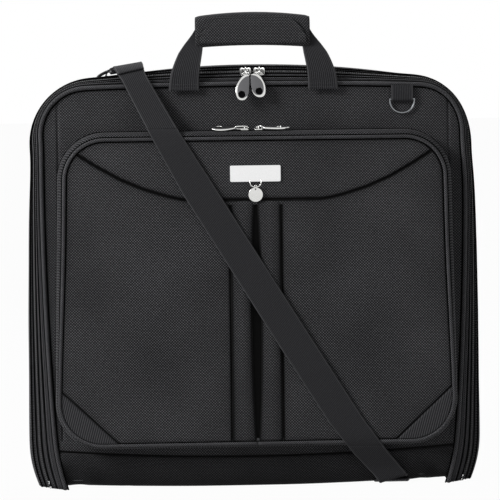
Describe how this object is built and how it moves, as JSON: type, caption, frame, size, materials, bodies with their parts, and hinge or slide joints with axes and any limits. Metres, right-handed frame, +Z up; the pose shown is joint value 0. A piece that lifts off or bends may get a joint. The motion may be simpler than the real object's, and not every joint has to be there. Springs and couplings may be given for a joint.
{
  "type": "garment bag",
  "caption": "Folding suit bag closed on itself, with a zipped front pocket, padded wrap handle, rear handle and a shoulder strap across the front.",
  "frame": {"origin": "on the ground under the middle of the closed, standing bag", "axes": "+Z up, +Y towards the back, front pocket faces -Y, +X to the right seen from the front"},
  "size_m": [0.5578, 0.1137, 0.583],
  "materials": {
    "ballistic_nylon": "coarse checker weave, matte with a faint sheen",
    "webbing": "ribbed woven webbing",
    "zip_coil": "satin nylon coil",
    "zip_tape": "flat woven tape",
    "foam_board": "closed-cell foam board",
    "lining": "smooth polyester",
    "mesh": "open mesh over a cloth band",
    "piping": "cloth-covered cord",
    "ribbed_fabric": "ribbed twill",
    "chrome": "bright plated",
    "polished_plate": "polished, bare",
    "gunmetal": "dark plated wire",
    "black_metal": "black enamel",
    "black_plastic": "moulded, satin"
  },
  "bodies": {
    "rear_half": {"rear_gusset": "ballistic_nylon", "rear_zip_tape": "zip_tape", "rear_zip_coil": "zip_coil", "rear_panel": "ballistic_nylon", "rear_piping": "piping", "rear_board": "foam_board", "rear_lining": "lining", "rear_d_ring": "gunmetal", "rear_d_tab": "webbing", "strap_back_run": "webbing", "strap_adjuster": "black_plastic", "upper_snap_hook": "black_metal", "lower_snap_hook": "black_metal", "hanger_bracket": "black_plastic", "tie_straps": "webbing", "buckle_socket": "black_plastic"},
    "spine": {"spine_band": "ballistic_nylon", "strap_under": "webbing"},
    "front_half": {"front_zip_tape": "zip_tape", "front_zip_coil": "zip_coil", "front_fold_band": "ballistic_nylon", "front_panel": "ballistic_nylon", "front_side_strips": "ballistic_nylon", "front_piping": "piping", "front_board": "foam_board", "front_lining": "lining", "mesh_pocket": "mesh", "pocket_base_tape": "zip_tape", "front_d_tab": "webbing", "strap_upper_run": "webbing", "strap_lower_run": "webbing"},
    "pocket": {"pocket_gusset": "ballistic_nylon", "pocket_zip_coil": "zip_coil", "pocket_piping": "piping", "pocket_lining": "lining", "pocket_yoke": "ballistic_nylon", "corner_patches": "ribbed_fabric", "pocket_panels": "ballistic_nylon", "pleat_backing": "ballistic_nylon", "pleats": "ballistic_nylon", "name_plate": "polished_plate", "strap_front_run": "webbing"},
    "charm": {"charm": "chrome"},
    "main_slider_left": {"main_slider_left": "chrome"},
    "main_slider_right": {"main_slider_right": "chrome"},
    "main_pull_left": {"main_pull_left": "chrome"},
    "main_pull_right": {"main_pull_right": "chrome"},
    "pocket_slider_left": {"pocket_slider_left": "chrome"},
    "pocket_slider_right": {"pocket_slider_right": "chrome"},
    "pocket_pull_left": {"pocket_pull_left": "chrome"},
    "pocket_pull_right": {"pocket_pull_right": "chrome"},
    "front_handle": {"front_handle_webbing": "webbing", "front_grip_core": "foam_board", "grip_wrap": "ballistic_nylon"},
    "grip_wrap_flap": {"grip_wrap_flap": "ballistic_nylon"},
    "rear_handle": {"rear_handle": "ballistic_nylon"},
    "front_d_ring": {"front_d_ring": "gunmetal"},
    "hanger_clamp_lever": {"hanger_clamp_lever": "black_plastic"},
    "hanging_hook": {"hanging_hook": "chrome"},
    "buckle_plug": {"buckle_plug": "black_plastic"}
  },
  "joints": [
    {"name": "fold_rear", "type": "hinge", "parent": "rear_half", "child": "spine", "pos_m": [0, 0.044, 0.004], "axis": [1, 0, 0], "range_deg": [0, 90]},
    {"name": "fold_front", "type": "hinge", "parent": "spine", "child": "front_half", "pos_m": [0, -0.026, 0.004], "axis": [1, 0, 0], "range_deg": [0, 90]},
    {"name": "pocket_open", "type": "hinge", "parent": "front_half", "child": "pocket", "pos_m": [0, -0.0264, 0.0515], "axis": [1, 0, 0], "range_deg": [0, 70], "deforming": ["strap_lower_run"]},
    {"name": "charm_swing", "type": "hinge", "parent": "pocket", "child": "charm", "pos_m": [0, -0.0531, 0.3762], "axis": [1, 0, 0], "range_deg": [-90, 0]},
    {"name": "main_slider_left_run", "type": "slide", "parent": "front_half", "child": "main_slider_left", "axis": [-0.9994, 0, -0.0332], "range_m": [0, 0.04]},
    {"name": "main_slider_right_run", "type": "slide", "parent": "front_half", "child": "main_slider_right", "axis": [0.9994, 0, -0.0332], "range_m": [0, 0.04]},
    {"name": "main_pull_left_swing", "type": "hinge", "parent": "main_slider_left", "child": "main_pull_left", "pos_m": [-0.0062, -0.0299, 0.5085], "axis": [1, 0, 0], "range_deg": [-100, 0]},
    {"name": "main_pull_right_swing", "type": "hinge", "parent": "main_slider_right", "child": "main_pull_right", "pos_m": [0.0062, -0.0299, 0.5085], "axis": [1, 0, 0], "range_deg": [-100, 0]},
    {"name": "pocket_slider_left_run", "type": "slide", "parent": "pocket", "child": "pocket_slider_left", "axis": [-1, 0, 0], "range_m": [0, 0.028]},
    {"name": "pocket_slider_right_run", "type": "slide", "parent": "pocket", "child": "pocket_slider_right", "axis": [1, 0, 0], "range_m": [0, 0.06]},
    {"name": "pocket_pull_left_lift", "type": "hinge", "parent": "pocket_slider_left", "child": "pocket_pull_left", "pos_m": [-0.0235, -0.0355, 0.4414], "axis": [0, 1, 0], "range_deg": [0, 90]},
    {"name": "pocket_pull_right_lift", "type": "hinge", "parent": "pocket_slider_right", "child": "pocket_pull_right", "pos_m": [0.0135, -0.0355, 0.4414], "axis": [0, 1, 0], "range_deg": [-90, 0]},
    {"name": "front_handle_swing", "type": "hinge", "parent": "front_half", "child": "front_handle", "pos_m": [0, -0.0308, 0.488], "axis": [1, 0, 0], "range_deg": [0, 100]},
    {"name": "wrap_flap_open", "type": "hinge", "parent": "front_handle", "child": "grip_wrap_flap", "pos_m": [0, -0.0269, 0.5458], "axis": [1, 0, 0], "range_deg": [0, 100]},
    {"name": "rear_handle_swing", "type": "hinge", "parent": "rear_half", "child": "rear_handle", "pos_m": [0, 0.05, 0.486], "axis": [1, 0, 0], "range_deg": [0, 165]},
    {"name": "front_d_ring_swing", "type": "hinge", "parent": "front_half", "child": "front_d_ring", "pos_m": [0.181, -0.0294, 0.473], "axis": [1, 0, 0], "range_deg": [-120, 0]},
    {"name": "hanger_clamp_open", "type": "hinge", "parent": "rear_half", "child": "hanger_clamp_lever", "pos_m": [0, 0.0172, 0.4818], "axis": [1, 0, 0], "range_deg": [-80, 0]},
    {"name": "hanging_hook_swing", "type": "hinge", "parent": "rear_half", "child": "hanging_hook", "pos_m": [0.06, 0.008, 0.484], "axis": [1, 0, 0], "range_deg": [-20, 20]},
    {"name": "buckle_release", "type": "slide", "parent": "rear_half", "child": "buckle_plug", "axis": [-1, 0, 0], "range_m": [0, 0.03]}
  ],
  "couplings": [
    {"joint": "fold_front", "follows": "fold_rear", "ratio": 1}
  ]
}
